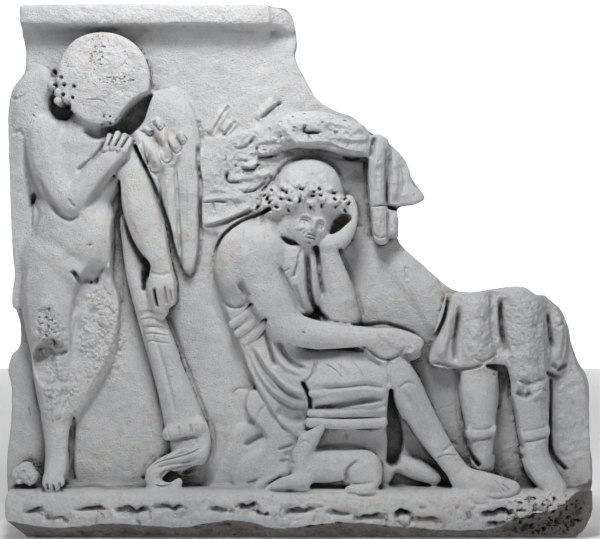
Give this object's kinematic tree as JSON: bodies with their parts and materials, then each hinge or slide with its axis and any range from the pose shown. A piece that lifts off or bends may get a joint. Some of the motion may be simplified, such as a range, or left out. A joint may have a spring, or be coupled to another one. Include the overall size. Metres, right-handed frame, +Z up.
{
  "type": "sarcophagus relief fragment",
  "caption": "Broken marble slab from a sarcophagus front, carved in high relief with a winged boy, a seated youth with a dog, and the legs of a standing figure.",
  "frame": {"origin": "centre of the bounding box's footprint, on the underside", "axes": "+Z up, +X to the viewer's right along the slab, the carved face looks along -Y and the flat back along +Y"},
  "size_m": [0.709, 0.1504, 0.6358],
  "materials": {
    "marble": "dull tooled marble, weathered, with dark grime in the drilled hollows"
  },
  "bodies": {
    "root": {"relief_fragment": "marble"}
  },
  "joints": []
}
